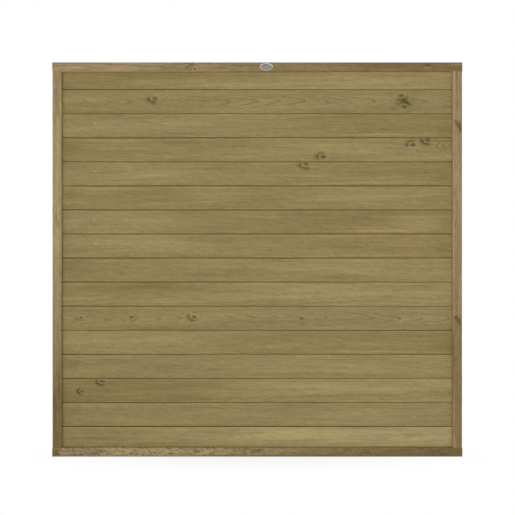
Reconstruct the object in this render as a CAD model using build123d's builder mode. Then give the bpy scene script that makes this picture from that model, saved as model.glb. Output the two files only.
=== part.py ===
from build123d import *
import os

# Fence panel of horizontal tongue and groove boards, housed in a grooved softwood frame.
# Sizes are in millimetres. X runs along the boards, +Y points to the back and +Z is up.
# The origin is at the middle of the bottom edge, halfway through the frame's depth.

# Overall size, and the planed timber of the frame
panel_width = 1830.0
panel_height = 1760.0
frame_face = 40.0
frame_depth = 45.0
arris_radius = 3.0
rail_overhang = 1.0

# Groove ploughed along the frame's inner edges, in which the boards stand
housing_depth = 12.0
housing_clearance = 0.25
board_end_gap = 3.0

# Boards: tongue on the upper edge, groove in the lower edge, vee joint on the face
board_cover = 108.0
board_thickness = 12.0
board_recess = 20.0
bottom_board_show = 90.0
vee_chamfer = 3.0
back_arris = 1.0
tongue_length = 6.0
tongue_thickness = 4.0
tongue_offset = 0.8
tongue_clearance = 0.25
tongue_tip_gap = 1.0
tongue_tip_bevel = 0.8

# Upright batten behind the boards
batten_width = 38.0
batten_thickness = 12.0

# Countersunk screws at the corners and wire staples in the batten, sunk below the timber's surface
screw_diameter = 4.5
screw_head = 8.6
screw_length = 80.0
staple_crown = 10.5
staple_leg = 20.0
staple_wire = 1.3
staple_point = 0.4
fixing_sink = 0.3
fixing_clearance = 0.1

# Oval name plate, left bare, on the face of the top rail
badge_width = 58.0
badge_height = 31.0
badge_thickness = 1.6
badge_rim = 2.4
badge_field_depth = 0.7
badge_offset = 40.0

# Positions that follow from the sizes
front_y = -frame_depth / 2
back_y = frame_depth / 2
board_front_y = front_y + board_recess
board_mid_y = board_front_y + board_thickness / 2
board_back_y = board_front_y + board_thickness
tongue_y = board_mid_y + tongue_offset
housing_width = board_thickness + 2 * housing_clearance
stile_outer_x = panel_width / 2 - rail_overhang
opening_half = stile_outer_x - frame_face
opening_bottom = frame_face
opening_top = panel_height - frame_face
board_length = 2 * (opening_half + housing_depth - board_end_gap)

# Heights of the board joints: the lowest and the highest board are ripped to fit the frame
stack_bottom = opening_bottom - housing_depth
stack_top = opening_top + housing_depth - board_end_gap
first_joint = opening_bottom + bottom_board_show
full_boards = int((opening_top - first_joint) // board_cover)
joint_heights = [first_joint + n * board_cover for n in range(full_boards + 1)]
board_edges = [stack_bottom, *joint_heights, stack_top]

# Each corner has two screws, one through the flat of each cheek beside the rail's groove
front_cheek_y = (front_y + arris_radius + board_mid_y - housing_width / 2) / 2
back_cheek_y = (back_y - arris_radius + board_mid_y + housing_width / 2) / 2
screw_x = stile_outer_x - (frame_face - housing_depth) / 2

# Each board has one staple through the batten, at the middle of the height that shows
batten_back_y = board_back_y + batten_thickness
shown_edges = [opening_bottom, *joint_heights, opening_top]
staple_heights = [(low + high) / 2 for low, high in zip(shown_edges, shown_edges[1:])]


# Planes across the corner screws at one height, each with its normal pointing out of the panel
def screw_planes(height, outward, sides=(-1, 1)):
    spots = [(side * screw_x, y) for side in sides for y in (front_cheek_y, back_cheek_y)]
    return [Plane(origin=(x, y, height), x_dir=(1, 0, 0), z_dir=(0, 0, outward)) for x, y in spots]


# Planes on the batten's back, one for each staple, with their normals pointing to the back
def staple_planes(heights):
    return [Plane(origin=(0, batten_back_y, z), x_dir=(-1, 0, 0), z_dir=(0, 1, 0)) for z in heights]


# Wood screw with a countersunk head, its axis along Z and the timber's surface at zero
with BuildPart() as screw:
    screw_neck = fixing_sink + (screw_head - screw_diameter) / 2
    with BuildSketch(Plane.XZ):
        with BuildLine():
            Polyline(
                (0, -fixing_sink),
                (screw_head / 2, -fixing_sink),
                (screw_diameter / 2, -screw_neck),
                (screw_diameter / 2, -fixing_sink - screw_length),
                (0, -fixing_sink - screw_length),
                close=True,
            )
        make_face()
    revolve(axis=Axis.Z)

# Staple of flat wire with chisel points, its crown along X and the timber's surface at zero
with BuildPart() as staple:
    with BuildSketch(Plane.XZ) as staple_outline:
        with Locations((0, -fixing_sink)):
            Rectangle(staple_crown, staple_leg, align=(Align.CENTER, Align.MAX))
        with Locations((0, -fixing_sink - staple_wire)):
            Rectangle(
                staple_crown - 2 * staple_wire,
                staple_leg,
                align=(Align.CENTER, Align.MAX),
                mode=Mode.SUBTRACT,
            )
        chamfer(staple_outline.vertices().group_by(Axis.Y)[0], staple_point)
    extrude(amount=staple_wire / 2, both=True)

# Room that a staple takes up in the timber: a trench for its crown and a slot for each leg
with BuildPart() as staple_room:
    slot_width = staple_wire + 2 * fixing_clearance
    trench_depth = fixing_sink + staple_wire + fixing_clearance
    slot_depth = fixing_sink + staple_leg + fixing_clearance
    with BuildSketch(Plane.XZ):
        Rectangle(staple_crown + 2 * fixing_clearance, trench_depth, align=(Align.CENTER, Align.MAX))
        with GridLocations(staple_crown - staple_wire, 0, 2, 1):
            Rectangle(slot_width, slot_depth, align=(Align.CENTER, Align.MAX))
    extrude(amount=slot_width / 2, both=True)


# Rail: a length of the grooved section as wide as the panel, drilled at its ends for the stiles
def make_rail(label, outer_z, outward):
    inner_z = outer_z - outward * frame_face
    with BuildPart() as rail:
        with BuildSketch(Plane.YZ.offset(-panel_width / 2)) as section:
            with Locations((0, (outer_z + inner_z) / 2)):
                Rectangle(frame_depth, frame_face)
            fillet(section.vertices(), arris_radius)
            with Locations((board_mid_y, inner_z + outward * housing_depth / 2)):
                Rectangle(housing_width, housing_depth, mode=Mode.SUBTRACT)
        extrude(amount=panel_width)
        with Locations(*screw_planes(outer_z, outward)):
            CounterSinkHole(
                radius=screw_diameter / 2 + fixing_clearance,
                counter_sink_radius=screw_head / 2 + fixing_sink + fixing_clearance,
                depth=frame_face,
                counter_sink_angle=90,
            )
    rail.part.label = label
    export_step(rail.part, f"parts/{label}.step")


# Stile: the same grooved section, cut to stand between the rails and drilled in its ends
def make_stile(label, side):
    with BuildPart() as stile:
        with BuildSketch(Plane.XY.offset(opening_bottom)) as section:
            with Locations((side * (opening_half + frame_face / 2), 0)):
                Rectangle(frame_face, frame_depth)
            fillet(section.vertices(), arris_radius)
            with Locations((side * (opening_half + housing_depth / 2), board_mid_y)):
                Rectangle(housing_depth, housing_width, mode=Mode.SUBTRACT)
        extrude(amount=opening_top - opening_bottom)
        with Locations(*screw_planes(opening_top, 1, [side]), *screw_planes(opening_bottom, -1, [side])):
            Hole(
                radius=screw_diameter / 2 + fixing_clearance,
                depth=fixing_sink + screw_length + fixing_clearance - frame_face,
            )
    stile.part.label = label
    export_step(stile.part, f"parts/{label}.step")


# Board: tongue up and groove down, with a vee on the face; a ripped edge is left square
def make_board(label, bottom, top, staple_height, grooved, tongued):
    with BuildPart() as board:
        with BuildSketch(Plane.YZ.offset(-board_length / 2)) as section:
            with Locations((board_mid_y, (bottom + top) / 2)):
                Rectangle(board_thickness, top - bottom)
            moulded = slice(0 if grooved else 1, 2 if tongued else 1)
            chamfer(section.vertices().group_by(Axis.X)[0].sort_by(Axis.Y)[moulded], vee_chamfer)
            chamfer(section.vertices().group_by(Axis.X)[-1].sort_by(Axis.Y)[moulded], back_arris)
            if tongued:
                with Locations((tongue_y, top)):
                    Rectangle(tongue_thickness, tongue_length, align=(Align.CENTER, Align.MIN))
                chamfer(section.vertices().group_by(Axis.Y)[-1], tongue_tip_bevel)
            if grooved:
                with Locations((tongue_y, bottom)):
                    Rectangle(
                        tongue_thickness + 2 * tongue_clearance,
                        tongue_length + tongue_tip_gap,
                        align=(Align.CENTER, Align.MIN),
                        mode=Mode.SUBTRACT,
                    )
        extrude(amount=board_length)
        with Locations(*staple_planes([staple_height])):
            add(staple_room.part, mode=Mode.SUBTRACT)
    board.part.label = label
    export_step(board.part, f"parts/{label}.step")


os.makedirs("parts", exist_ok=True)

make_rail("bottom_rail", 0, -1)
make_rail("top_rail", panel_height, 1)
make_stile("left_stile", -1)
make_stile("right_stile", 1)

# Boards, numbered upwards from the bottom rail
for number, low in enumerate(board_edges[:-1]):
    make_board(
        f"board_{number + 1:02d}",
        low,
        board_edges[number + 1],
        staple_heights[number],
        grooved=number > 0,
        tongued=number < full_boards + 1,
    )

# Upright batten between the rails, lying on the backs of the boards
with BuildPart() as rear_batten:
    with BuildSketch(Plane.XY.offset(opening_bottom)) as batten_section:
        with Locations((0, board_back_y + batten_thickness / 2)):
            Rectangle(batten_width, batten_thickness)
        fillet(batten_section.vertices().group_by(Axis.Y)[-1], arris_radius)
    extrude(amount=opening_top - opening_bottom)
    with Locations(*staple_planes(staple_heights)):
        add(staple_room.part, mode=Mode.SUBTRACT)
rear_batten.part.label = "rear_batten"
export_step(rear_batten.part, "parts/rear_batten.step")

# Screws that hold the rails to the ends of the stiles
with BuildPart() as corner_screws:
    with Locations(*screw_planes(panel_height, 1), *screw_planes(0, -1)):
        add(screw.part)
corner_screws.part.label = "corner_screws"
export_step(corner_screws.part, "parts/corner_screws.step")

# Staples that hold the boards to the batten
with BuildPart() as batten_staples:
    with Locations(*staple_planes(staple_heights)):
        add(staple.part)
batten_staples.part.label = "batten_staples"
export_step(batten_staples.part, "parts/batten_staples.step")

# Oval plate with a raised rim, flat on the face of the top rail
badge_plane = Plane(
    origin=(badge_offset, front_y, panel_height - frame_face / 2),
    x_dir=(1, 0, 0),
    z_dir=(0, -1, 0),
)
with BuildPart() as badge_plate:
    with BuildSketch(badge_plane):
        Ellipse(badge_width / 2, badge_height / 2)
    extrude(amount=badge_thickness)
    with BuildSketch(badge_plane.offset(badge_thickness)):
        Ellipse(badge_width / 2 - badge_rim, badge_height / 2 - badge_rim)
    extrude(amount=-badge_field_depth, mode=Mode.SUBTRACT)
badge_plate.part.label = "badge_plate"
export_step(badge_plate.part, "parts/badge_plate.step")
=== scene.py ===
import math

import bmesh
import bpy
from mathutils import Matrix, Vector


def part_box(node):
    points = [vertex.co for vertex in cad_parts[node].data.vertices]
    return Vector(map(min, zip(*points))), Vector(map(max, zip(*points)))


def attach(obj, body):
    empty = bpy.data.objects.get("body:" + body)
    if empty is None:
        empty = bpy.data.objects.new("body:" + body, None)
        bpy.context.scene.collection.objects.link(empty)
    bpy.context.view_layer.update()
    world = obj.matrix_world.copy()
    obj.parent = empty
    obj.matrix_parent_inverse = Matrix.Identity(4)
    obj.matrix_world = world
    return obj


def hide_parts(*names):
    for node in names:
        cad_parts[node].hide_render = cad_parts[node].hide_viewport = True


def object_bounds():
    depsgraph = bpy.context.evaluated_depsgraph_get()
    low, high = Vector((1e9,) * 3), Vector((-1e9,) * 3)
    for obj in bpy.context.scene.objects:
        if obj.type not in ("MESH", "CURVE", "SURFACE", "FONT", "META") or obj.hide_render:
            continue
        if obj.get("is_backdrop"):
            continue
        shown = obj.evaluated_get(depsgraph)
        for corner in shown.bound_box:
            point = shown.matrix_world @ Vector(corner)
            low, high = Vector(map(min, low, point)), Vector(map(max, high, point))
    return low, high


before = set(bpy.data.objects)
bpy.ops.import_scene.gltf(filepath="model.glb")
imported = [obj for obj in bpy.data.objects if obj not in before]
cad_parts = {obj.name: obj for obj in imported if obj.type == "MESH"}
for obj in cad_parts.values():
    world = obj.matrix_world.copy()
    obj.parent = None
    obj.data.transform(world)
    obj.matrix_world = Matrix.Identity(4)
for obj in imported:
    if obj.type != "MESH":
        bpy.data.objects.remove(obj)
cad_low, cad_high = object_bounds()


# Bottom rail: a planed length of pressure-treated softwood as wide as the panel, with rounded arrises.
# A groove is ploughed along its upper edge for the lowest board, and two screws at each end hold a stile.
# Flat-sawn and short-grained at the left, it dried in flecks there and went darker towards the right.
class Socket:
    """A socket of a node tree. Sums and products of sockets add the Math nodes that they need."""

    def __init__(self, tree, link=None):
        self.tree = tree
        self.link = link

    def node(self, kind, settings=None, inputs=None, output=0):
        made = self.tree.nodes.new(kind)
        for key, value in (settings or {}).items():
            setattr(made, key, value)
        for key, value in (inputs or {}).items():
            for one in value if isinstance(value, list) else [value]:
                if isinstance(one, Socket):
                    self.tree.links.new(one.link, made.inputs[key])
                else:
                    made.inputs[key].default_value = one
        return Socket(self.tree, made.outputs[output] if made.outputs else None)

    def maths(self, operation, *values):
        return self.node("ShaderNodeMath", {"operation": operation}, dict(enumerate(values)))

    def __add__(self, other):
        return self.maths("ADD", self, other)

    def __radd__(self, other):
        return self.maths("ADD", other, self)

    def __sub__(self, other):
        return self.maths("SUBTRACT", self, other)

    def __rsub__(self, other):
        return self.maths("SUBTRACT", other, self)

    def __mul__(self, other):
        return self.maths("MULTIPLY", self, other)

    def __rmul__(self, other):
        return self.maths("MULTIPLY", other, self)

    def __truediv__(self, other):
        return self.maths("DIVIDE", self, other)

    def __neg__(self):
        return self.maths("MULTIPLY", self, -1.0)


def paint(red, green, blue):
    """A colour as daylight shows it, 0 to 255, as the linear colour that a shader takes."""
    seen = (c / 255 for c in (red, green, blue))
    return (*(c / 12.92 if c < 0.04 else ((c + 0.055) / 1.055) ** 2.4 for c in seen), 1.0)


def timber(name, grain, box, seed, tones, *, pith, taper, ring, figure, streaks, latewood=0.51, mottle=1.0,
           outer=0, rim=0.25, joint=None, corners=0.0, knots=(), swirls=(), fans=(), stars=(), marks=(),
           flecks=None):
    """Treated softwood: growth rings round a pith line that runs behind the face, cut by the plank's faces.

    grain: the axis that it runs along; box: the lowest and highest corners of what shows of the plank.
    tones: plain at the low and the high end, warm, green, latewood, preservative and painted shade, knot and
    pale.
    pith: how far it lies off the middle of the plank's face and how deep; taper: ring radius gained per metre.
    ring: one year's growth; figure: how clearly the rings show; streaks: how clearly the plain tone varies.
    latewood: the dark share of each ring's width; mottle: how uneven the plank's lightness is.
    outer: the side of the plank, across it, whose arrises get painted shade, or 0 for both; rim: how much.
    joint: preservative and painted shade in the vee at a board's foot and at its head, and how the foot's
    fades along it.
    corners: painted shade where the ends meet the stiles.
    knots: along, across, half length, the way that the dark side faces, and how dark that side is.
    swirls: along, across and size of places where only the rings bend.
    fans: along, across, spacing and slope of rings that run out in nested arcs.
    stars: along, across and length of drying checks that spread from a knot.
    marks: tone, strength, along, across, half length and half height of a soft patch.
    flecks: where short dark strokes begin to fade, where they end, and their strength.
    """
    low, high = box
    material = bpy.data.materials.new(name)
    material.use_nodes = True
    shader = material.node_tree.nodes["Principled BSDF"]
    shade = Socket(material.node_tree)
    place = shade.node("ShaderNodeTexCoord", output="Object")
    x, y, z = (shade.node("ShaderNodeSeparateXYZ", inputs={0: place}, output=axis) for axis in "XYZ")
    middle, half = (low + high) / 2, (high - low) / 2
    if grain == "x":
        u, v, half_u, half_v = x - middle.x, z - middle.z, half.x, half.z
    else:
        u, v, half_u, half_v = z - middle.z, x - middle.x, half.z, half.x
    w = y - low.y

    def noise(length, width, detail=2.0, part=0.0, slant=0.0):
        spot = {0: (u + v * slant) / length + (seed * 7.31 + part), 1: v / width, 2: w / width}
        vector = shade.node("ShaderNodeCombineXYZ", inputs=spot)
        return shade.node("ShaderNodeTexNoise", inputs={
            "Vector": vector, "Scale": 1.0, "Detail": detail, "Roughness": 0.6}) - 0.5

    def rise(value, start, end):
        return shade.node("ShaderNodeMapRange", {"interpolation_type": "SMOOTHSTEP"}, {
            "Value": value, "From Min": start, "From Max": end})

    def mix(factor, first, second):
        return shade.node("ShaderNodeMix", {"data_type": "RGBA"}, {0: factor, 6: first, 7: second}, 2)

    def bell(along, across, length, height):
        du, dv = (u - along) / length, (v - across) / height
        return shade.maths("EXPONENT", -(du * du + dv * dv))

    def most(first, *others):
        for other in others:
            first = shade.maths("MAXIMUM", first, other)
        return first

    # Growth rings, bent by the tree's own wander and swollen round each knot
    ripple = noise(0.035, 0.012, 1.0, 3.1)
    streak = noise(0.30, 0.014, 2.5, 11.7)
    blotch = noise(0.60, 0.050, 4.0, 23.3)
    cloud = noise(0.045, 0.014, 2.0, 97.0, 1.2)
    speckle = noise(0.009, 0.0070, 1.0, 61.0)
    fibre = noise(0.030, 0.0012, 2.0, 31.9)
    pores = rise(noise(0.020, 0.0008, 1.0, 83.0), 0.12, 0.24)
    across_pith = v - pith[0] + noise(0.55, 0.15, 1.0) * 0.035
    heart = w + pith[1]
    radius = shade.maths("SQRT", across_pith * across_pith + heart * heart) + u * taper
    radius = radius + noise(0.16, 0.04, 2.0, 5.3) * 0.006 + ripple * 0.0006
    near_face = 1.0 - rise(w, 0.004, 0.012)
    knot_parts = []
    for along, across, size, turn, dark in knots:
        du, dv = (u - along) / size, (v - across) / (size * 0.64)
        reach = shade.maths("SQRT", du * du + dv * dv) + noise(0.016, 0.010, 1.0, 41.0) * 0.8
        radius = radius + shade.maths("EXPONENT", reach * reach * -0.16) * (size * 0.85)
        facing = (du * math.cos(turn) + dv * math.sin(turn)) / (reach + 0.3)
        core = 1.0 - rise(reach, 0.40, 1.25)
        lid = rise(reach, 1.0, 1.2) * (1.0 - rise(reach, 1.25, 1.5)) * rise(facing + ripple * 2.6, -0.2, 0.6)
        glow = rise(reach, 1.05, 1.45) * (1.0 - rise(reach, 1.5, 2.4)) * rise(-facing, 0.0, 0.7)
        shadow = rise(reach, 1.2, 1.5) * (1.0 - rise(reach, 1.6, 3.3)) * rise(facing, 0.0, 0.7)
        knot_parts.append((core, lid, glow, shadow * near_face * (dark + ripple * 1.2)))
    drawn = figure
    for along, across, size in swirls:
        hump = bell(along, across, size * 1.5, size)
        radius = radius + hump * (size * 0.42)
        drawn = hump * 0.5 + drawn
    age = radius / ring
    year = shade.maths("FLOOR", age)
    season = shade.maths("FRACT", age)
    strength = shade.node("ShaderNodeTexWhiteNoise", {"noise_dimensions": "1D"}, {"W": year + seed * 3.7})
    late = rise(season, 0.93 - latewood, 0.93) * (1.0 - rise(season, 0.93, 1.0)) * (strength * 0.9 + 0.35)
    late = late * (rise(blotch + ripple, -0.16, 0.10) * 0.7 + 0.3)

    # Colour along and across the plank
    plain = mix(rise(u + blotch * 0.5, -half_u * 0.8, half_u * 0.8), tones["low"], tones["high"])
    colour = mix(rise(streak + blotch * 0.3, 0.0, 0.26) * streaks, plain, tones["warm"])
    colour = mix(rise(-streak - blotch * 0.5, 0.0, 0.28) * streaks, colour, tones["green"])
    colour = mix(late * drawn, colour, tones["late"])
    for tone, amount, along, across, length, height in marks:
        patch = bell(along, across, length, height) * (1.0 + streak * 2.0) * amount
        colour = mix(patch, colour, tones[tone])
    if flecks:
        begin, end, amount = flecks
        short = rise(noise(0.0085, 0.0130, 2.0, 53.0, 1.4), -0.04, 0.13) * (1.0 - rise(u, begin, end))
        colour = mix(short * amount, colour, tones["late"])
    colour = mix(pores * 0.30, colour, tones["late"])
    relief = late * -0.35 + fibre * 0.9 - pores * 0.6
    if knots:
        core, lid, glow, shadow = (most(*parts) for parts in zip(*knot_parts))
        colour = mix(shadow, colour, tones["stain_and_shade"])
        colour = mix(most(lid * 0.28, glow * 0.12), colour, tones["pale"])
        colour = mix(core * (0.85 + ripple), colour, tones["heart"])
        relief = relief + core * 0.8 - shadow * 0.4
    for along, across, spacing, slope in fans:
        dv = v - across
        inside = u - along - dv * dv * slope + ripple * 0.004
        line = shade.maths("ABSOLUTE", shade.maths("FRACT", inside / spacing + 0.5) - 0.5)
        arc = (1.0 - rise(line, 0.02, 0.12)) * rise(inside, spacing * -0.2, 0.0)
        colour = mix(arc * (0.85 + ripple), colour, tones["late"])
        relief = relief - arc * 0.4
    check_count = 8
    for along, across, size in stars:
        du, dv = u - along, v - across
        reach = shade.maths("SQRT", du * du + dv * dv) / size
        around = shade.maths("ARCTAN2", dv, du) * (check_count / (2 * math.pi))
        spoke = shade.maths("FRACT", around + (ripple * 0.6 + 0.75))
        aside = shade.maths("ABSOLUTE", spoke - 0.5)
        check = (1.0 - rise(aside, 0.02, 0.20)) * (1.0 - rise(reach, 0.3, 1.1)) * near_face
        ray = rise(aside, 0.28, 0.46) * (1.0 - rise(reach, 0.4, 1.1)) * rise(du, size * -0.6, 0.0)
        smudge = bell(along + size * 0.06, across, size * 0.34, size * 0.17) * 0.66
        edging = bell(along + size * 0.1, half_v, size, 0.0080) * 0.58
        smudge = most(smudge, edging) * (1.0 + ripple * 1.5) * near_face
        colour = mix(ray * 0.40, colour, tones["pale"])
        colour = mix(most(check * 0.55, smudge), colour, tones["heart"])
        relief = relief - check

    # Preservative and painted shade in the joints' vees, and painted shade in the corners and on the arrises
    if joint:
        lower, upper, fade = joint
        # Preservative and painted shade darken the vee at the foot and fade along the board; the head's vee is
        # darkened too
        foot_darkness = 1.0 - u * (fade / half_u) - noise(0.5, 1.0, 1.0, 71.0) * 0.7
        foot = (1.0 - rise(v + half_v, 0.0008, 0.0042)) * lower * foot_darkness
        head = (1.0 - rise(half_v - v, 0.0002, 0.0022)) * upper
        colour = mix(most(foot, head), colour, tones["stain_and_shade"])
        # A painted highlight on the face just below the head's vee
        tone_shift = rise(half_v - v, 0.0022, 0.0040) * (1.0 - rise(half_v - v, 0.0055, 0.0095))
        colour = mix(tone_shift * 0.10, colour, tones["pale"])
    else:
        # Painted shade along the rounded arrises
        edge_v = half_v - (v * outer if outer else shade.maths("ABSOLUTE", v))
        edge_w = half.y - shade.maths("ABSOLUTE", w - half.y)
        arris_shade = (1.0 - rise(edge_v, 0.0005, 0.0045)) * (1.0 - rise(edge_w, 0.001, 0.006))
        colour = mix(arris_shade * rim * (1.0 + blotch), colour, tones["stain_and_shade"])
    # Painted shade where the boards' ends run into the stiles
    if corners:
        end_u = half_u - shade.maths("ABSOLUTE", u)
        colour = mix((1.0 - rise(end_u, 0.0, 0.006)) * corners, colour, tones["stain_and_shade"])

    uneven = (blotch * 0.50 + cloud * 0.46) * mottle
    light = 1.0 + uneven + fibre * 0.26 + ripple * 0.16 + speckle * 0.36
    colour = shade.node("ShaderNodeVectorMath", {"operation": "SCALE"}, {0: colour, "Scale": light})
    rough = 0.70 + fibre * 0.25 - late * 0.08
    bump = shade.node("ShaderNodeBump", inputs={"Strength": 0.55, "Distance": 0.0005, "Height": relief})
    for key, value in (("Base Color", colour), ("Roughness", rough), ("Normal", bump)):
        material.node_tree.links.new(value.link, shader.inputs[key])
    shader.inputs["Specular IOR Level"].default_value = 0.18
    return material


def dress(node, material):
    """Puts a material on a piece that keeps its solid from the frame."""
    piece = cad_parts[node]
    piece.data.materials.clear()
    piece.data.materials.append(material)
    return piece


frame_tones = {
    "low": paint(173, 156, 116), "high": paint(122, 104, 67), "warm": paint(160, 134, 92),
    "green": paint(124, 110, 70), "late": paint(92, 74, 42), "stain_and_shade": paint(66, 54, 30),
    "heart": paint(70, 56, 32), "pale": paint(178, 161, 120),
}
rail_low, rail_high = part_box("bottom_rail")
dress("bottom_rail", timber(
    "treated_softwood_bottom_rail", "x", (rail_low, rail_high), 2, dict(frame_tones, late=paint(80, 63, 34)),
    pith=(0.004, 0.05), taper=0.02, ring=0.0046, figure=0.52, streaks=0.7, mottle=1.7, outer=-1, rim=0.5,
    swirls=((0.482, -0.002, 0.024), (0.765, -0.003, 0.022)),
    flecks=(-0.10, 0.40, 0.66),
    marks=(
        # The left end, which dried warmer and darker
        ("warm", 0.9, -0.902, 0.0, 0.022, 0.04),
        ("late", 0.40, -0.902, 0.0, 0.022, 0.04),
        # The eyes of the two swirls, and painted light on the shaded upper face and its arris
        ("late", 0.5, 0.486, -0.002, 0.012, 0.004),
        ("late", 0.4, 0.765, -0.003, 0.012, 0.004),
        ("pale", 0.3, -0.3, 0.020, 3.0, 0.0012),
        # Lighter and darker lengths, and painted shade along the rounded lower arris
        ("late", 0.22, -0.80, 0.0, 0.12, 0.1),
        ("pale", 0.22, -0.33, 0.0, 0.16, 0.1),
        ("late", 0.22, 0.82, 0.0, 0.16, 0.1),
        ("late", 0.40, 0.05, -0.0165, 0.60, 0.0035),
    )))


# Stiles: the same grooved section stood on end between the rails, planed, treated and left unpainted.
# Each is held by screws through the rails, and the boards' ends stand in the groove of its inner edge.
# The left one took up more preservative at its foot; the right one has two slanting knots at its outer edge.
stile_tones = dict(
    frame_tones, low=paint(160, 142, 102), high=paint(168, 149, 108), warm=paint(174, 148, 105),
    green=paint(136, 119, 80), late=paint(112, 90, 52))
left_low, left_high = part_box("left_stile")
dress("left_stile", timber(
    "treated_softwood_left_stile", "z", (left_low, left_high), 3, stile_tones,
    pith=(0.055, 0.03), taper=0.004, ring=0.0048, figure=0.50, streaks=0.75, mottle=1.6, outer=-1, rim=0.40,
    marks=(
        # A dark band beside the groove, the wet foot and a darker length near the head
        ("late", 0.34, 0.20, 0.0145, 0.60, 0.0065),
        ("late", 0.9, -0.82, 0.0, 0.50, 1.0),
        ("late", 0.35, 0.70, 0.0, 0.10, 0.012),
        # A small slanting knot, a nick, and painted light on the shaded inner face and its arris
        ("late", 0.5, 0.185, -0.004, 0.022, 0.007),
        ("late", 0.4, 0.165, 0.006, 0.014, 0.006),
        ("stain_and_shade", 0.6, -0.06, 0.017, 0.010, 0.003),
        ("pale", 0.6, 0.0, 0.020, 3.0, 0.0014),
    )))
right_low, right_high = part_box("right_stile")
dress("right_stile", timber(
    "treated_softwood_right_stile", "z", (right_low, right_high), 4,
    dict(stile_tones, low=paint(132, 111, 73), high=paint(152, 130, 93)),
    pith=(-0.05, 0.03), taper=0.005, ring=0.0052, figure=0.55, streaks=0.75, mottle=1.6, outer=1,
    marks=(
        # Painted light on the shaded inner face and its arris, a pale length and a dark streak near the head
        ("pale", 0.6, 0.0, -0.020, 3.0, 0.0045),
        ("pale", 0.32, 0.27, 0.009, 0.16, 0.010),
        ("late", 0.5, 0.76, -0.005, 0.13, 0.004),
        # The upper knot, which slants down to the outer edge
        ("stain_and_shade", 0.6, 0.618, -0.011, 0.007, 0.005),
        ("late", 0.9, 0.606, -0.003, 0.014, 0.008),
        ("stain_and_shade", 0.70, 0.597, 0.007, 0.016, 0.009),
        ("stain_and_shade", 0.70, 0.582, 0.014, 0.017, 0.009),
        ("stain_and_shade", 0.5, 0.637, 0.018, 0.008, 0.003),
        # Two nicks in the face, and painted shade on the upper outer arris
        ("stain_and_shade", 0.55, 0.150, -0.0098, 0.020, 0.0016),
        ("stain_and_shade", 0.45, 0.100, -0.0105, 0.016, 0.0014),
        ("stain_and_shade", 0.45, 0.62, 0.0195, 0.28, 0.0032),
        # The lower knot, and the drying check that runs down from it
        ("stain_and_shade", 0.9, -0.258, -0.008, 0.008, 0.007),
        ("stain_and_shade", 0.6, -0.270, 0.001, 0.013, 0.010),
        ("stain_and_shade", 0.55, -0.284, 0.010, 0.013, 0.009),
        ("stain_and_shade", 0.85, -0.444, -0.0172, 0.12, 0.0022),
    )))


# Boards: sixteen planed and treated matchboards, tongue up and groove down, laid up from the bottom rail.
# Each is run through a moulder that leaves a chamfer on both face edges, so two boards meet in a vee.
# Their ends stand loose in the stiles' grooves; the lowest and the highest are ripped to fit the rails.
def node_tree(name, sizes):
    """An empty tree of Geometry Nodes with these named inputs, and a socket for each of them."""
    tree = bpy.data.node_groups.new(name, "GeometryNodeTree")
    work = Socket(tree)
    for size, kind in sizes.items():
        tree.interface.new_socket(size, in_out="INPUT", socket_type="NodeSocket" + kind)
    tree.interface.new_socket("Made", in_out="OUTPUT", socket_type="NodeSocketGeometry")
    return work, {size: work.node("NodeGroupInput", output=size) for size in sizes}


def finish_tree(work, made, material):
    """Makes the instances real, shades the flats flat and the rounds round, and sets the material."""
    real = work.node("GeometryNodeRealizeInstances", inputs={0: made})
    angle = work.node("GeometryNodeInputMeshEdgeAngle")
    sharp = work.node("FunctionNodeCompare", {"operation": "GREATER_THAN"}, {0: angle, 1: 0.6})
    smooth = work.node("GeometryNodeSetShadeSmooth", {"domain": "FACE"}, {
        "Geometry": real, "Shade Smooth": True})
    flat = work.node("GeometryNodeSetShadeSmooth", {"domain": "EDGE"}, {
        "Geometry": smooth, "Selection": sharp, "Shade Smooth": False})
    work.node("NodeGroupOutput", inputs={
        0: work.node("GeometryNodeSetMaterial", inputs={"Geometry": flat, "Material": material})})
    return work.tree


def grown(name, tree, points, edges, values):
    """Runs a tree on a few points and edges, and returns what it makes as a plain mesh."""
    base = bpy.data.meshes.new(name + "_base")
    base.from_pydata(points, edges, [])
    piece = bpy.data.objects.new(name, base)
    bpy.context.scene.collection.objects.link(piece)
    modifier = piece.modifiers.new(tree.name, "NODES")
    modifier.node_group = tree
    for item in tree.interface.items_tree:
        if item.name in values:
            modifier[item.identifier] = values[item.name]
    evaluated = piece.evaluated_get(bpy.context.evaluated_depsgraph_get())
    mesh = bpy.data.meshes.new_from_object(evaluated)
    piece.modifiers.remove(modifier)
    piece.data = mesh
    shell = bmesh.new()
    shell.from_mesh(mesh)
    bmesh.ops.remove_doubles(shell, verts=shell.verts, dist=1e-7)
    bmesh.ops.recalc_face_normals(shell, faces=shell.faces)
    shell.to_mesh(mesh)
    shell.free()
    mesh.name = name
    return piece


work, given = node_tree("matchboard", {
    "Outline": "Geometry", "Length": "Float", "Ease": "Float", "Material": "Material"})
outline = work.node("GeometryNodeMeshToCurve", inputs={"Mesh": given["Outline"]})
eased = work.node("GeometryNodeFilletCurve", {"mode": "POLY"}, {
    "Curve": outline, "Count": 2, "Radius": given["Ease"], "Limit Radius": True})
end = work.node("ShaderNodeCombineXYZ", inputs={0: given["Length"] * 0.5})
start = work.node("ShaderNodeCombineXYZ", inputs={0: given["Length"] * -0.5})
run = work.node("GeometryNodeCurvePrimitiveLine", inputs={"Start": start, "End": end})
swept = work.node("GeometryNodeCurveToMesh", inputs={"Curve": run, "Profile Curve": eased, "Fill Caps": True})
matchboard = finish_tree(work, swept, given["Material"])

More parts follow.
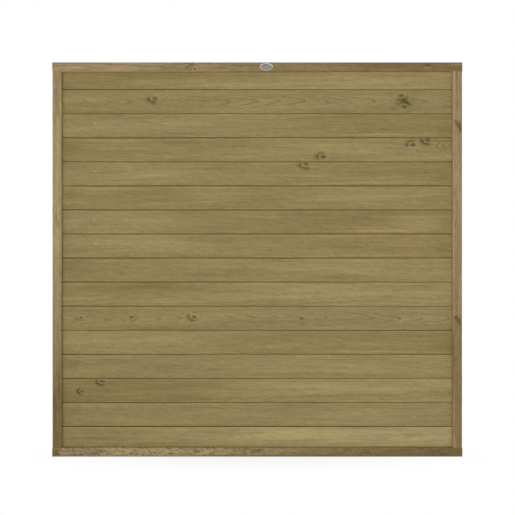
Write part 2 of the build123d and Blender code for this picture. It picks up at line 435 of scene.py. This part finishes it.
board_tones = {
    "warm": paint(163, 142, 94), "green": paint(126, 113, 65), "late": paint(106, 91, 45),
    "stain_and_shade": paint(70, 61, 18), "heart": paint(92, 80, 50), "pale": paint(182, 166, 118),
}
board_kinds = {
    "flame": dict(
        ends=((142, 127, 82), (144, 129, 86)),
        pith=(0.0, 0.040), taper=0.046, ring=0.0050, figure=0.80, streaks=0.50, latewood=0.24,
        marks=(("green", 0.5, -0.50, -0.045, 0.35, 0.010),)),
    "quiet": dict(
        ends=((147, 131, 87), (141, 124, 79)),
        pith=(-0.10, 0.06), taper=0.006, ring=0.0075, figure=0.34, streaks=0.58,
        marks=(
            ("pale", 0.15, -0.45, 0.005, 0.20, 0.022),
            ("warm", 0.7, 0.52, -0.040, 0.24, 0.004),
            ("green", 0.7, 0.83, -0.018, 0.05, 0.020),
            ("pale", 0.4, -0.730, 0.012, 0.012, 0.005),
            ("stain_and_shade", 0.25, -0.741, 0.008, 0.005, 0.005))),
    "turned": dict(
        ends=((140, 124, 79), (148, 132, 88)),
        pith=(0.10, 0.06), taper=-0.006, ring=0.0075, figure=0.34, streaks=0.58,
        marks=(
            ("pale", 0.15, 0.40, -0.005, 0.20, 0.022),
            ("warm", 0.7, -0.60, 0.041, 0.19, 0.004),
            ("green", 0.7, -0.83, 0.012, 0.05, 0.022),
            ("pale", 0.4, 0.706, -0.010, 0.012, 0.005),
            ("stain_and_shade", 0.25, 0.716, -0.006, 0.005, 0.005))),
    "streaky": dict(
        ends=((143, 126, 81), (153, 136, 91)),
        pith=(0.03, 0.09), taper=0.012, ring=0.0110, figure=0.30, streaks=0.58,
        marks=(
            ("green", 0.5, -0.60, 0.030, 0.30, 0.015),
            ("warm", 0.5, -0.05, -0.012, 0.25, 0.010),
            ("pale", 0.25, 0.35, 0.010, 0.30, 0.016))),
    "bright": dict(
        ends=((150, 133, 88), (169, 153, 108)),
        pith=(0.02, 0.08), taper=0.010, ring=0.0090, figure=0.28, streaks=0.60,
        marks=(
            ("green", 0.4, -0.70, 0.020, 0.20, 0.020),
            ("pale", 0.35, 0.25, 0.0, 0.40, 0.040))),
}

# The boards from the bottom up: what kind each is, how dark the vee at its foot is, with preservative and
# painted shade, how that fades to the right, how dark its head is where that isn't as usual, and the knots and
# marks that are its own
laid_up = (
    dict(kind="bright", foot_darkness=0.20, fade=0.0, head=0.9, marks=(
        ("green", 0.4, -0.330, -0.016, 0.050, 0.007),
        ("pale", 0.3, -0.320, -0.004, 0.040, 0.005))),
    # Its left end is painted lighter, as painted light against the dimmer lamp light at the lower left
    dict(kind="turned", foot_darkness=1.05, fade=0.40, ends=((144, 128, 83), (148, 132, 88))),
    dict(kind="streaky", foot_darkness=0.47, fade=0.70, ends=((137, 120, 76), (154, 138, 93)), knots=(
        (-0.787, -0.004, 0.010, 3.3, 0.8),
        (-0.695, 0.041, 0.013, 3.9, 0.7))),
    # Its left end is painted lighter, as painted light against the dimmer lamp light at the lower left
    dict(kind="turned", foot_darkness=0.45, fade=0.83, ends=((144, 128, 83), (148, 132, 88))),
    dict(kind="quiet", foot_darkness=0.58, fade=0.35),
    dict(kind="flame", foot_darkness=0.60, fade=-0.35, knots=(
        (-0.790, 0.003, 0.010, 3.6, 0.3),
        (-0.564, 0.005, 0.011, -0.5, 0.4),
        (-0.284, 0.007, 0.013, 3.7, 0.7))),
    dict(kind="streaky", foot_darkness=0.47, fade=0.75),
    dict(kind="turned", foot_darkness=0.67, fade=0.45),
    dict(kind="quiet", foot_darkness=0.68, fade=0.40),
    dict(kind="quiet", foot_darkness=0.65, fade=0.0, ends=((146, 130, 86), (136, 119, 74)), swirls=(
        (0.44, 0.0, 0.020),), marks=(
        ("pale", 0.3, 0.74, 0.0, 0.12, 0.04),
        ("late", 0.16, -0.24, 0.0, 0.20, 0.2))),
    dict(kind="turned", foot_darkness=0.68, fade=0.20, ends=((140, 124, 79), (144, 128, 84))),
    dict(kind="quiet", foot_darkness=0.70, fade=0.0, knots=((0.218, 0.043, 0.0145, 4.0, 0.75),)),
    dict(kind="turned", foot_darkness=0.50, fade=-0.05, fans=((0.806, 0.017, 0.028, 56.0),), knots=(
        (0.698, 0.023, 0.0145, 2.4, 0.7),
        (0.765, 0.043, 0.0145, 3.9, 0.75),
        (0.296, -0.031, 0.0145, 2.6, 0.65))),
    dict(kind="quiet", foot_darkness=0.64, fade=0.15),
    dict(kind="flame", foot_darkness=0.30, fade=-0.35, knots=(
        (-0.460, 0.014, 0.0145, 3.8, 0.7),
        (0.645, 0.026, 0.014, -1.2, 0.7),
        (0.659, -0.022, 0.015, 1.5, 0.7)), marks=(
        ("green", 0.5, 0.66, 0.0, 0.06, 0.05),
        ("stain_and_shade", 0.75, 0.655, 0.010, 0.010, 0.007),
        ("stain_and_shade", 0.75, 0.664, 0.001, 0.012, 0.008),
        ("stain_and_shade", 0.55, 0.673, -0.009, 0.010, 0.006))),
    dict(kind="streaky", foot_darkness=0.47, fade=0.30, head=0.12, ends=((143, 126, 81), (157, 140, 95)), marks=(
        ("late", 0.14, 0.20, 0.0, 0.22, 0.2),
        # Painted shade along the head under the top rail at the left, and painted light along it at the right
        ("late", 0.45, -0.70, 0.038, 0.50, 0.0030),
        ("pale", 0.60, 0.45, 0.038, 0.50, 0.0040))),
)
# The usual darkness of a head's vee, the painted shade where the boards' ends meet the stiles, and the eased
# arrises
usual_head, painted_corner_shade, eased_arris = 0.40, 0.16, 0.0004
tongue_length, tongue_half, tongue_offset, tongue_bevel = 0.006, 0.002, 0.0008, 0.0008
groove_half, groove_depth, vee, back_arris = 0.00225, 0.007, 0.003, 0.001


def board_section(low, high, grooved, tongued):
    """Points in Y and Z round a board's section: up its face, over its head and down its back."""
    top = high.z - tongue_length if tongued else high.z
    tongue_y = (low.y + high.y) / 2 + tongue_offset
    tongue_front, tongue_back = tongue_y - tongue_half, tongue_y + tongue_half
    groove_front, groove_back = tongue_y - groove_half, tongue_y + groove_half
    section = [(low.y, low.z + vee if grooved else low.z)]
    if tongued:
        section += [
            (low.y, top - vee), (low.y + vee, top),
            (tongue_front, top), (tongue_front, high.z - tongue_bevel),
            (tongue_front + tongue_bevel, high.z), (tongue_back - tongue_bevel, high.z),
            (tongue_back, high.z - tongue_bevel), (tongue_back, top),
            (high.y - back_arris, top), (high.y, top - back_arris)]
    else:
        section += [(low.y, top), (high.y, top)]
    if grooved:
        section += [
            (high.y, low.z + back_arris), (high.y - back_arris, low.z),
            (groove_back, low.z), (groove_back, low.z + groove_depth),
            (groove_front, low.z + groove_depth), (groove_front, low.z),
            (low.y + vee, low.z)]
    else:
        section += [(high.y, low.z)]
    return section


board_names = [f"board_{number:02d}" for number in range(1, len(laid_up) + 1)]
feet = [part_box(node)[0].z for node in board_names]
opening_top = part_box("top_rail")[0].z
for number, (node, laid) in enumerate(zip(board_names, laid_up)):
    low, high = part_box(node)
    tongued = number < len(laid_up) - 1
    shown_low = Vector((left_high.x, low.y, max(low.z, rail_high.z)))
    shown_high = Vector((right_low.x, high.y, feet[number + 1] if tongued else opening_top))
    kind = board_kinds[laid["kind"]]
    plank = {**kind, **laid, "marks": kind["marks"] + laid.get("marks", ())}
    del plank["kind"]
    joint = (plank.pop("foot_darkness"), plank.pop("head", usual_head), plank.pop("fade"))
    first_end, last_end = (paint(*tone) for tone in plank.pop("ends"))
    material = timber(
        "treated_softwood_" + node, "x", (shown_low, shown_high), 20 + number,
        dict(board_tones, low=first_end, high=last_end), joint=joint, corners=painted_corner_shade, **plank)
    section = board_section(low, high, grooved=number > 0, tongued=tongued)
    board = grown(
        "matchboard_" + node[-2:], matchboard, [(-y, -z, 0.0) for y, z in section],
        [(n, (n + 1) % len(section)) for n in range(len(section))],
        {"Length": high.x - low.x, "Ease": eased_arris, "Material": material})
    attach(board, "root")
    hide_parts(node)


# Top rail: the bottom rail's section turned over, dropped on the boards and screwed down to the stiles.
# Planed and treated softwood, browner than the boards and darkest at its right end.
# A knot at its upper edge has dried out in checks like the rays of a star.
top_low, top_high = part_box("top_rail")
dress("top_rail", timber(
    "treated_softwood_top_rail", "x", (top_low, top_high), 7,
    dict(frame_tones, low=paint(156, 135, 98), high=paint(125, 103, 66), pale=paint(204, 186, 142)),
    pith=(-0.01, 0.06), taper=0.012, ring=0.0052, figure=0.50, streaks=0.75, mottle=1.6, outer=1,
    swirls=((0.760, -0.006, 0.018),),
    stars=((-0.294, 0.0095, 0.040),),
    marks=(
        # Scuffs near the left end and beside the swirl, and green beside the star
        ("pale", 0.30, -0.815, -0.003, 0.04, 0.004),
        ("green", 0.5, -0.36, 0.010, 0.06, 0.006),
        ("pale", 0.26, 0.760, -0.006, 0.016, 0.004),
        ("pale", 0.26, 0.58, -0.013, 0.05, 0.002),
        # A warm and a dark length, and painted light on the shaded underside and lower arris, strongest at the
        # left
        ("warm", 0.3, 0.30, -0.004, 0.20, 0.008),
        ("late", 0.2, 0.50, 0.0, 0.12, 0.03),
        ("pale", 0.95, -0.60, -0.0203, 0.55, 0.0010),
        ("pale", 0.30, 0.60, -0.0203, 0.55, 0.0010),
    )))


# Corner screws: eight countersunk wood screws of zinc-plated and yellow passivated steel with cross recesses.
# Two at each corner are driven through the rail into the end grain of the stile, either side of its groove.
# The heads are pulled a little below the timber.
def metal(name, bright, dull, shine, rough, grain, blotches=420.0):
    """Bare or plated metal, dulled in blotches, with the fine lines of its drawing or pressing."""
    material = bpy.data.materials.new(name)
    material.use_nodes = True
    shader = material.node_tree.nodes["Principled BSDF"]
    shade = Socket(material.node_tree)
    place = shade.node("ShaderNodeTexCoord", output="Object")
    lines = shade.node("ShaderNodeTexNoise", inputs={
        "Vector": shade.node("ShaderNodeVectorMath", {"operation": "MULTIPLY"}, {0: place, 1: grain}),
        "Scale": 1.0, "Detail": 3.0})
    blotch = shade.node("ShaderNodeTexNoise", inputs={"Vector": place, "Scale": blotches, "Detail": 4.0})
    tone_shift = shade.node("ShaderNodeMapRange", {"interpolation_type": "SMOOTHSTEP"}, {
        "Value": blotch * 0.7 + lines * 0.3, "From Min": 0.38, "From Max": 0.66})
    colour = shade.node("ShaderNodeMix", {"data_type": "RGBA"}, {0: tone_shift, 6: bright, 7: dull}, 2)
    bump = shade.node("ShaderNodeBump", inputs={"Strength": 0.3, "Distance": 0.0001, "Height": lines + blotch})
    for key, value in (("Base Color", colour), ("Roughness", rough + tone_shift * 0.2), ("Normal", bump)):
        material.node_tree.links.new(value.link, shader.inputs[key])
    shader.inputs["Metallic"].default_value = shine
    return material


work, given = node_tree("countersunk_screws", {
    "Places": "Geometry", "Head": "Float", "Shank": "Float", "Length": "Float", "Sink": "Float",
    "Recess": "Float", "Middle": "Float", "Material": "Material"})
neck = given["Head"] - given["Shank"]
cone = work.node("GeometryNodeMeshCone", inputs={
    "Vertices": 40, "Radius Top": given["Head"], "Radius Bottom": given["Shank"], "Depth": neck})
arm = work.node("ShaderNodeCombineXYZ", inputs={
    0: given["Head"] * 1.15, 1: given["Head"] * 0.26, 2: given["Recess"] * 2.0})
bar = work.node("GeometryNodeMeshCube", inputs={"Size": arm})
top_of_head = work.node("ShaderNodeCombineXYZ", inputs={2: neck})
bars = [work.node("GeometryNodeTransform", inputs={
    "Geometry": bar, "Translation": top_of_head, "Rotation": (0.0, 0.0, turn)}) for turn in (0.0, math.pi / 2)]
head = work.node("GeometryNodeMeshBoolean", {"operation": "DIFFERENCE", "solver": "EXACT"}, {
    "Mesh 1": cone, "Mesh 2": bars})
shank = work.node("GeometryNodeMeshCylinder", inputs={
    "Vertices": 24, "Radius": given["Shank"], "Depth": given["Length"] - neck})
below = work.node("ShaderNodeCombineXYZ", inputs={2: (neck - given["Length"]) * 0.5})
shank = work.node("GeometryNodeTransform", inputs={"Geometry": shank, "Translation": below})
screw = work.node("GeometryNodeJoinGeometry", inputs={0: [head, shank]})
sunk = work.node("ShaderNodeCombineXYZ", inputs={2: -(neck + given["Sink"])})
screw = work.node("GeometryNodeTransform", inputs={"Geometry": screw, "Translation": sunk})
height = work.node("ShaderNodeSeparateXYZ", inputs={0: work.node("GeometryNodeInputPosition")}, output="Z")
over = work.maths("LESS_THAN", height, given["Middle"]) * math.pi
roll = work.node("FunctionNodeRandomValue", {"data_type": "FLOAT"}, {
    "Min": 0.0, "Max": math.pi, "Seed": 8}, "Value")
facing = work.node("ShaderNodeCombineXYZ", inputs={0: over, 2: roll})
placed = work.node("GeometryNodeInstanceOnPoints", inputs={
    "Points": given["Places"], "Instance": screw,
    "Rotation": work.node("FunctionNodeEulerToRotation", inputs={0: facing})})
countersunk_screws = finish_tree(work, placed, given["Material"])

screw_head, screw_shank, screw_length, screw_sink, recess_depth = 0.0043, 0.00225, 0.080, 0.0003, 0.0016
screws_low, screws_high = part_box("corner_screws")
screw_places = [
    (x, y, z)
    for x in (screws_low.x + screw_head, screws_high.x - screw_head)
    for y in (screws_low.y + screw_head, screws_high.y - screw_head)
    for z in (rail_low.z, top_high.z)]
passivated = metal(
    "yellow_passivated_steel", paint(196, 178, 118), paint(126, 112, 74),
    shine=0.85, rough=0.32, grain=(900.0, 900.0, 90.0))
screws = grown("countersunk_corner_screws", countersunk_screws, screw_places, [], {
    "Head": screw_head, "Shank": screw_shank, "Length": screw_length, "Sink": screw_sink,
    "Recess": recess_depth, "Middle": (rail_low.z + top_high.z) / 2, "Material": passivated})
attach(screws, "root")
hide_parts("corner_screws")


# Rear batten: an upright strip of the same treated softwood that keeps the long boards in line.
# It stands between the rails on the backs of the boards and has its rear arrises rounded.
# One wire staple through it holds each board.
batten_low, batten_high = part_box("rear_batten")
dress("rear_batten", timber(
    "treated_softwood_rear_batten", "z", (batten_low, batten_high), 9,
    dict(stile_tones, low=paint(146, 126, 88), high=paint(140, 122, 84)),
    pith=(0.01, 0.05), taper=0.014, ring=0.0050, figure=0.5, streaks=0.6,
    knots=((-0.31, 0.006, 0.012, 0.5, 0.6), (0.47, -0.008, 0.013, 3.8, 0.6))))


# Batten staples: sixteen staples of galvanised flat wire, one for each board, shot in from the back.
# The crown lies across the batten, just below its surface, and the legs go through it into the board.
work, given = node_tree("wire_staples", {
    "Places": "Geometry", "Crown": "Float", "Leg": "Float", "Wire": "Float", "Bend": "Float", "Sink": "Float",
    "Material": "Material"})
corner = work.node("GeometryNodeInputIndex") - 1.5
reach = (given["Crown"] - given["Wire"]) * 0.5
aside = work.maths("SIGN", corner) * reach
down = work.maths("GREATER_THAN", work.maths("ABSOLUTE", corner), 1.0) * (given["Leg"] - given["Wire"] * 0.5)
bent = work.node("ShaderNodeCombineXYZ", inputs={0: aside, 2: -down - given["Sink"] - given["Wire"] * 0.5})
line = work.node("GeometryNodeSetPosition", inputs={
    "Geometry": work.node("GeometryNodeMeshLine", inputs={"Count": 4}), "Position": bent})
path = work.node("GeometryNodeFilletCurve", {"mode": "POLY"}, {
    "Curve": work.node("GeometryNodeMeshToCurve", inputs={"Mesh": line}), "Count": 4, "Radius": given["Bend"]})
flat_wire = work.node("GeometryNodeFilletCurve", {"mode": "POLY"}, {
    "Curve": work.node("GeometryNodeCurvePrimitiveQuadrilateral", inputs={
        "Width": given["Wire"], "Height": given["Wire"]}),
    "Count": 2, "Radius": given["Wire"] * 0.18})
staple = work.node("GeometryNodeCurveToMesh", inputs={
    "Curve": path, "Profile Curve": flat_wire, "Fill Caps": True})
placed = work.node("GeometryNodeInstanceOnPoints", inputs={
    "Points": given["Places"], "Instance": staple, "Rotation": (-math.pi / 2, 0.0, 0.0)})
wire_staples = finish_tree(work, placed, given["Material"])

staple_crown, staple_leg, staple_wire, staple_bend, staple_sink = 0.0105, 0.020, 0.0013, 0.0008, 0.0003
shown_edges = [rail_high.z, *feet[1:], opening_top]
staple_places = [(0.0, batten_high.y, (a + b) / 2) for a, b in zip(shown_edges, shown_edges[1:])]
galvanised = metal(
    "galvanised_wire", paint(186, 186, 182), paint(120, 120, 116),
    shine=0.9, rough=0.38, grain=(60.0, 900.0, 900.0))
staples = grown("galvanised_batten_staples", wire_staples, staple_places, [], {
    "Crown": staple_crown, "Leg": staple_leg, "Wire": staple_wire, "Bend": staple_bend, "Sink": staple_sink,
    "Material": galvanised})
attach(staples, "root")
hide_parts("batten_staples")


# Name plate: an oval pressed from thin aluminium, with a bright rolled rim round a dull field left bare.
# It lies flat on the face of the top rail, a little to the right of the middle.
plate_low, plate_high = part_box("badge_plate")
plate_middle, plate_half = (plate_low + plate_high) / 2, (plate_high - plate_low) / 2
# The rings of the plate from its edge inwards: how far in each lies, and how high above the rail
rim_steps = (
    (0.0, 0.0), (0.0, 0.0010), (0.0002, 0.0014), (0.0006, 0.0016), (0.0011, 0.0016), (0.0016, 0.0014),
    (0.0021, 0.0010), (0.0024, 0.0009), (0.0034, 0.00088), (0.0070, 0.00094), (0.0110, 0.00098))
sides, field_inset, field_height = 112, 0.0023, 0.0005
plate = bmesh.new()
rings = []
for inset, height in rim_steps:
    rings.append([
        plate.verts.new((
            plate_middle.x + (plate_half.x - inset) * math.cos(turn),
            plate_high.y - height,
            plate_middle.z + (plate_half.z - inset) * math.sin(turn)))
        for turn in (2 * math.pi * step / sides for step in range(sides))])
for outer, inner in zip(rings, rings[1:]):
    for step in range(sides):
        after = (step + 1) % sides
        plate.faces.new((outer[step], outer[after], inner[after], inner[step]))
plate.faces.new(rings[-1])
plate.faces.new(rings[0][::-1])
bmesh.ops.recalc_face_normals(plate, faces=plate.faces)
for face in plate.faces:
    face.smooth = len(face.verts) == 4
plate_mesh = bpy.data.meshes.new("oval_name_plate")
plate.to_mesh(plate_mesh)
plate.free()
bright_rim = metal(
    "bright_rolled_rim", paint(208, 205, 194), paint(176, 173, 162),
    shine=0.8, rough=0.28, grain=(300.0, 60.0, 300.0))
dull_field = metal(
    "dull_bare_field", paint(122, 121, 115), paint(106, 105, 98),
    shine=0.6, rough=0.45, grain=(40.0, 60.0, 2600.0), blotches=60.0)
plate_mesh.materials.append(bright_rim)
plate_mesh.materials.append(dull_field)
for polygon in plate_mesh.polygons:
    inside = Vector((
        (polygon.center.x - plate_middle.x) / (plate_half.x - field_inset),
        (polygon.center.z - plate_middle.z) / (plate_half.z - field_inset)))
    polygon.material_index = int(inside.length < 1.0 and polygon.center.y < plate_high.y - field_height)
name_plate = bpy.data.objects.new("oval_name_plate", plate_mesh)
bpy.context.scene.collection.objects.link(name_plate)
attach(name_plate, "root")
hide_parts("badge_plate")


# Studio: the panel stands on a plain white floor that runs out of sight into a white surround.
# A wide soft lamp stands in front, a little to the left, a weak one low on the right, and one behind.
def seen_as_background(shade):
    """1 for the camera's rays and those that metal and glass send on, and 0 for the light on the panel."""
    rays = [shade.node("ShaderNodeLightPath", output=ray) for ray in (
        "Is Camera Ray", "Is Glossy Ray", "Is Transmission Ray")]
    return shade.maths("MAXIMUM", shade.maths("MAXIMUM", rays[0], rays[1]), rays[2])


pure_white = (1.0, 1.0, 1.0, 1.0)
floor_aside, floor_front, floor_back = 40, -20, 60
floor_mesh = bpy.data.meshes.new("studio_floor")
floor_mesh.from_pydata([
    (-floor_aside, floor_front, 0), (floor_aside, floor_front, 0),
    (floor_aside, floor_back, 0), (-floor_aside, floor_back, 0)], [], [(0, 1, 2, 3)])
floor = bpy.data.objects.new("studio_floor", floor_mesh)
bpy.context.scene.collection.objects.link(floor)
floor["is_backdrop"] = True
floor_paint = bpy.data.materials.new("pale_floor_paint")
floor_paint.use_nodes = True
floor_paint.node_tree.nodes.clear()
shade = Socket(floor_paint.node_tree)
place = shade.node("ShaderNodeTexCoord", output="Object")
x, y = (shade.node("ShaderNodeSeparateXYZ", inputs={0: place}, output=axis) for axis in "XY")

# Near the panel the floor is part paint, which keeps the shadow, and its smaller white share there also paints
# a soft shade round the panel's foot; further out it is plain white
shadow_half_width, shadow_half_depth = 1.1, 0.28
away_x, away_y = x / shadow_half_width, y / shadow_half_depth
away = shade.maths("SQRT", away_x * away_x + away_y * away_y)
clear = shade.node("ShaderNodeMapRange", {"interpolation_type": "SMOOTHSTEP"}, {
    "Value": away, "From Min": 0.0, "From Max": 1.1, "To Min": 0.84, "To Max": 1.0})
pale = shade.node("ShaderNodeBsdfDiffuse", inputs={"Color": paint(236, 235, 232)})
white = shade.node("ShaderNodeEmission", inputs={"Color": pure_white, "Strength": 1.0})
shade.node("ShaderNodeOutputMaterial", inputs={"Surface": shade.node("ShaderNodeMixShader", inputs={
    0: seen_as_background(shade) * clear, 1: pale, 2: white})})
floor_mesh.materials.append(floor_paint)

surround_light = 0.52
world = bpy.data.worlds.new("white_surround")
bpy.context.scene.world = world
world.use_nodes = True
world.node_tree.nodes.clear()
shade = Socket(world.node_tree)
strength = seen_as_background(shade) * (1.0 - surround_light) + surround_light
shade.node("ShaderNodeOutputWorld", inputs={"Surface": shade.node("ShaderNodeBackground", inputs={
    "Color": pure_white, "Strength": strength})})

panel_middle = Vector((0.0, cad_low.y, (cad_low.z + cad_high.z) / 2))
for name, spot, size, power in (
        ("key_lamp", (-1.8, -7.2, 0.7), 3.0, 292.0),
        ("fill_lamp", (0.9, -2.6, 0.35), 1.0, 9.0),
        ("rear_lamp", (2.4, 6.0, 2.2), 3.0, 190.0)):
    lamp = bpy.data.lights.new(name, "AREA")
    lamp.shape = "SQUARE"
    lamp.size = size
    lamp.energy = power
    stand = bpy.data.objects.new(name, lamp)
    stand.location = spot
    stand.rotation_euler = (panel_middle - Vector(spot)).to_track_quat("-Z", "Y").to_euler()
    bpy.context.scene.collection.objects.link(stand)

# The camera stands square to the panel's front, which fills four fifths of its view
camera_distance, camera_aside, camera_height = 3.5, 0.001, 0.889
view_width, film_width = 2.2975, 36.0
camera_data = bpy.data.cameras.new("square_on_camera")
camera_data.sensor_width = film_width
camera_data.lens = film_width * camera_distance / view_width
camera = bpy.data.objects.new("square_on_camera", camera_data)
camera.location = (camera_aside, rail_low.y - camera_distance, camera_height)
camera.rotation_euler = (math.pi / 2, 0.0, 0.0)
bpy.context.scene.collection.objects.link(camera)
bpy.context.scene.camera = camera
bpy.context.scene.view_settings.view_transform = "Standard"

shown_low, shown_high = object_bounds()
